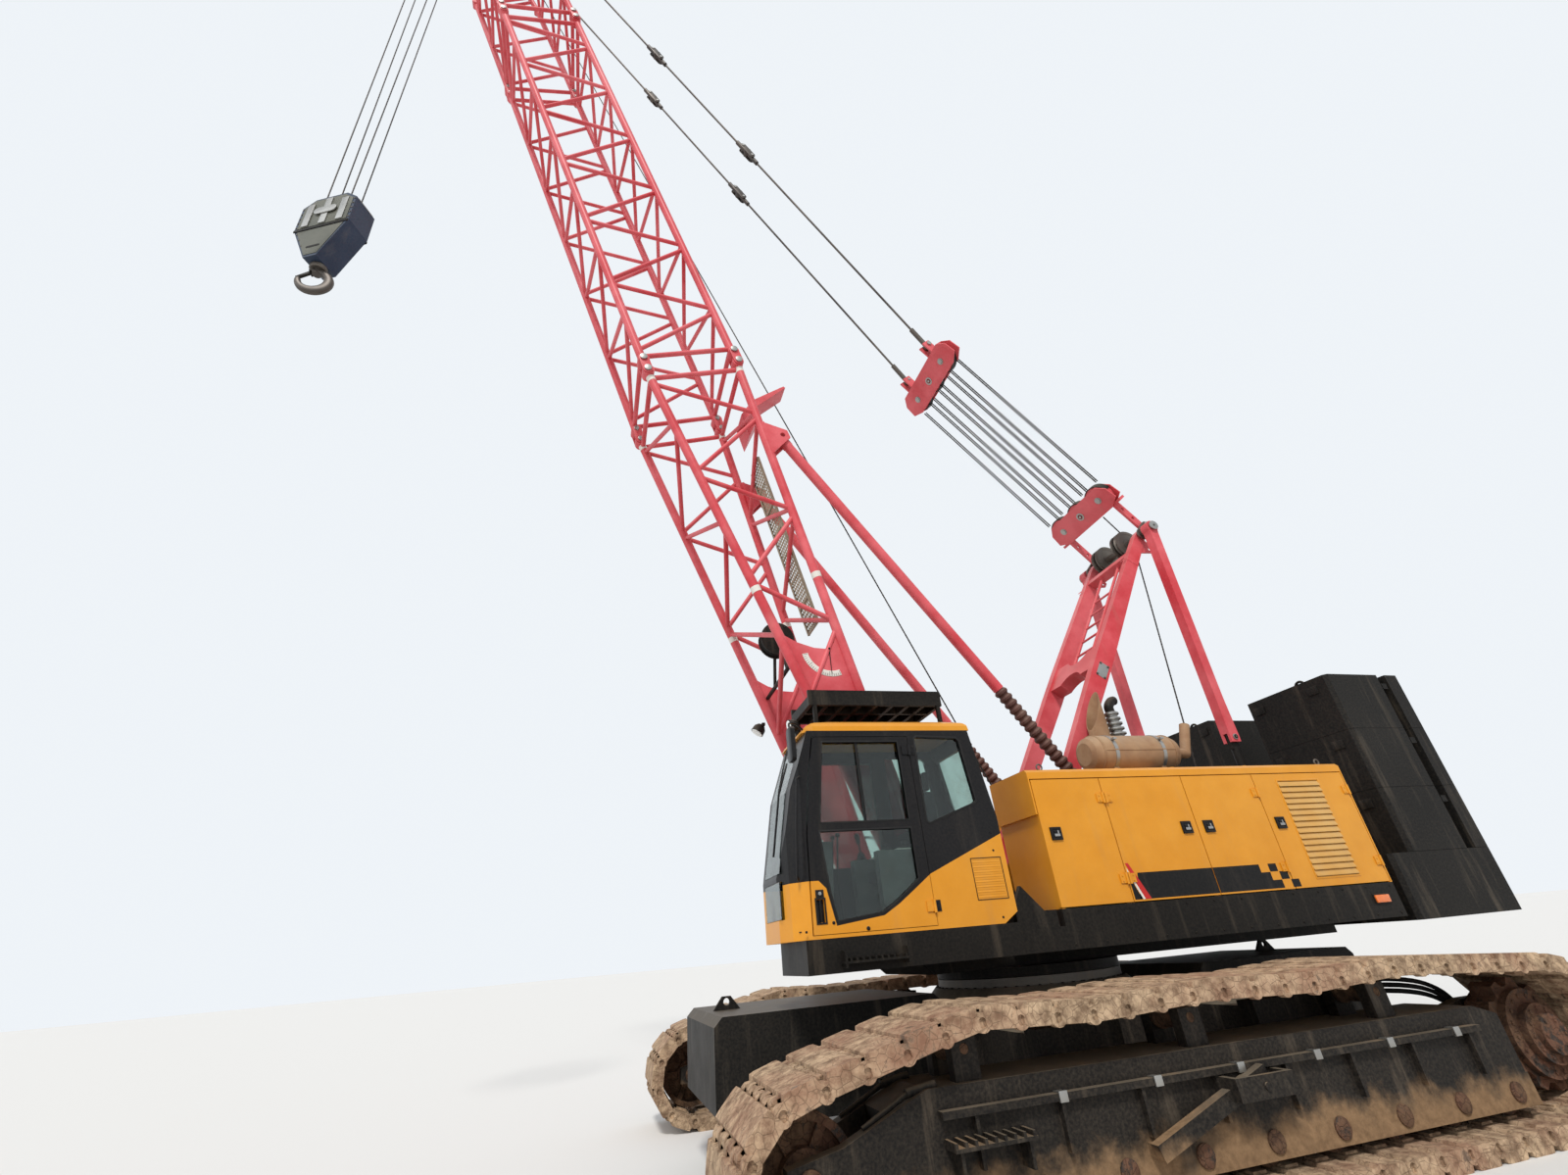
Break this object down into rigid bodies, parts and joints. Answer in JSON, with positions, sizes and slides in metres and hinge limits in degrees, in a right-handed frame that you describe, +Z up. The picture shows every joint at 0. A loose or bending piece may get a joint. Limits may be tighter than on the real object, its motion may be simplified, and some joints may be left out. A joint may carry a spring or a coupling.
{
  "type": "crawler crane",
  "caption": "Crawler crane on two tracks with a slewing upper, side cab, gantry, pinned lattice boom, pendants, backstops and a hook block.",
  "frame": {"origin": "on the ground under the slewing centre", "axes": "+X forward, the way the boom points over the idlers; +Y left, the cab's side; +Z up"},
  "size_m": [14.5945, 5.76, 23.1187],
  "materials": {
    "red_paint": "faded satin",
    "yellow_paint": "satin",
    "black_paint": "dusty matt",
    "dusty_steel": "dry mud over steel",
    "bare_steel": "dull",
    "muffler_steel": "dusty, heat-faded",
    "cab_glass": "tinted",
    "seat_fabric": "woven",
    "grey_plastic": "moulded",
    "walkway_mesh": "dusty tread plate",
    "wire_rope": "greased wire",
    "pendant_steel": "weathered",
    "spring_steel": "rusty"
  },
  "bodies": {
    "root": {"carbody": "black_paint", "carbody_weights": "black_paint", "slew_ring": "bare_steel", "track_frames": "black_paint", "track_left": "dusty_steel", "track_right": "dusty_steel", "track_rollers": "dusty_steel", "idler_wheels": "dusty_steel", "drive_sprockets": "dusty_steel"},
    "upper": {"revolving_frame": "black_paint", "housing_left": "yellow_paint", "housing_right": "yellow_paint", "engine_block": "bare_steel", "muffler": "muffler_steel", "fuel_tank": "yellow_paint", "winch_drums": "bare_steel", "gantry_front_legs": "red_paint", "gantry_rear_legs": "red_paint", "gantry_cylinders": "black_paint", "gantry_sheaves": "bare_steel", "counterweight_base": "black_paint", "counterweight_slabs": "black_paint", "cab_lower": "yellow_paint", "cab_frame": "black_paint", "cab_roof": "yellow_paint", "cab_glass": "cab_glass", "operator_seat": "seat_fabric", "control_console": "grey_plastic", "roof_guard": "black_paint"},
    "boom": {"boom_butt": "red_paint", "boom_insert": "red_paint", "boom_tip": "red_paint", "tip_sheaves": "bare_steel", "cable_reel": "black_paint", "rope_guard": "red_paint", "boom_walkway": "walkway_mesh"},
    "lower_spreader": {"lower_spreader": "red_paint", "luffing_ropes": "wire_rope"},
    "pendants": {"upper_spreader": "red_paint", "pendant_lines": "pendant_steel"},
    "backstop_rods": {"backstop_rods": "bare_steel"},
    "backstop_tubes": {"backstop_tubes": "red_paint", "backstop_springs": "spring_steel"},
    "hoist_line": {"hoist_ropes": "wire_rope"},
    "hook_block": {"hook_block": "black_paint"},
    "hook": {"hook": "black_paint"},
    "cab_door": {"cab_door": "black_paint", "cab_door_panel": "yellow_paint", "cab_door_glass": "cab_glass"},
    "side_door_l1": {"side_door_l1": "yellow_paint"},
    "side_door_l2": {"side_door_l2": "yellow_paint"},
    "side_door_l3": {"side_door_l3": "yellow_paint"},
    "side_door_l4": {"side_door_l4": "yellow_paint"},
    "side_door_r1": {"side_door_r1": "yellow_paint"},
    "side_door_r2": {"side_door_r2": "yellow_paint"},
    "side_door_r3": {"side_door_r3": "yellow_paint"}
  },
  "joints": [
    {"name": "slew", "type": "hinge", "parent": "root", "child": "upper", "pos_m": [0, 0, 1.267], "axis": [0, 0, 1], "continuous": true},
    {"name": "luff", "type": "hinge", "parent": "upper", "child": "boom", "pos_m": [1.29, 0, 1.75], "axis": [0, 1, 0], "range_deg": [-7.6, 39.4]},
    {"name": "spreader_swing", "type": "hinge", "parent": "upper", "child": "lower_spreader", "pos_m": [-3.28, 0, 6.86], "axis": [0, 1, 0], "range_deg": [-7.5, 38.2]},
    {"name": "pendant_travel", "type": "slide", "parent": "lower_spreader", "child": "pendants", "axis": [0.6391, 0, 0.7692], "range_m": [-0.9, 4.7], "deforming": ["luffing_ropes"]},
    {"name": "backstop_swing", "type": "hinge", "parent": "upper", "child": "backstop_rods", "pos_m": [-1.05, 0, 2.7], "axis": [0, 1, 0], "range_deg": [-6.5, 33.2]},
    {"name": "backstop_travel", "type": "slide", "parent": "backstop_rods", "child": "backstop_tubes", "axis": [0.5623, 0, 0.8269], "range_m": [-0.3, 1.56]},
    {"name": "hoist_line_swing", "type": "hinge", "parent": "boom", "child": "hoist_line", "pos_m": [8.5787, 0, 22.875], "axis": [0, 1, 0], "range_deg": [-39.6, 7.8]},
    {"name": "hoist", "type": "slide", "parent": "hoist_line", "child": "hook_block", "axis": [0, 0, 1], "range_m": [-9.8, 7.9], "deforming": ["hoist_ropes"]},
    {"name": "hook_swivel", "type": "hinge", "parent": "hook_block", "child": "hook", "pos_m": [8.5787, 0, 10.45], "axis": [0, 0, 1], "continuous": true},
    {"name": "cab_door_hinge", "type": "hinge", "parent": "upper", "child": "cab_door", "pos_m": [1.724, 1.627, 2.5], "axis": [0, 0, 1], "range_deg": [0, 90]},
    {"name": "side_door_l1_hinge", "type": "hinge", "parent": "upper", "child": "side_door_l1", "pos_m": [-0.285, 1.587, 2.36], "axis": [0, 0, 1], "range_deg": [0, 90]},
    {"name": "side_door_l2_hinge", "type": "hinge", "parent": "upper", "child": "side_door_l2", "pos_m": [-0.315, 1.587, 2.36], "axis": [0, 0, -1], "range_deg": [0, 90]},
    {"name": "side_door_l3_hinge", "type": "hinge", "parent": "upper", "child": "side_door_l3", "pos_m": [-2.215, 1.587, 2.36], "axis": [0, 0, 1], "range_deg": [0, 90]},
    {"name": "side_door_l4_hinge", "type": "hinge", "parent": "upper", "child": "side_door_l4", "pos_m": [-3.485, 1.587, 2.36], "axis": [0, 0, 1], "range_deg": [0, 90]},
    {"name": "side_door_r1_hinge", "type": "hinge", "parent": "upper", "child": "side_door_r1", "pos_m": [-0.725, -1.587, 2.36], "axis": [0, 0, -1], "range_deg": [0, 90]},
    {"name": "side_door_r2_hinge", "type": "hinge", "parent": "upper", "child": "side_door_r2", "pos_m": [-0.755, -1.587, 2.36], "axis": [0, 0, 1], "range_deg": [0, 90]},
    {"name": "side_door_r3_hinge", "type": "hinge", "parent": "upper", "child": "side_door_r3", "pos_m": [-3.485, -1.587, 2.36], "axis": [0, 0, -1], "range_deg": [0, 90]}
  ],
  "couplings": [
    {"joint": "spreader_swing", "follows": "luff", "ratio": 0.9623},
    {"joint": "pendant_travel", "follows": "luff", "m_per_rad": 6.7139},
    {"joint": "backstop_swing", "follows": "luff", "ratio": 0.8398},
    {"joint": "backstop_travel", "follows": "luff", "m_per_rad": 2.2427},
    {"joint": "hoist_line_swing", "follows": "luff", "ratio": -1}
  ]
}
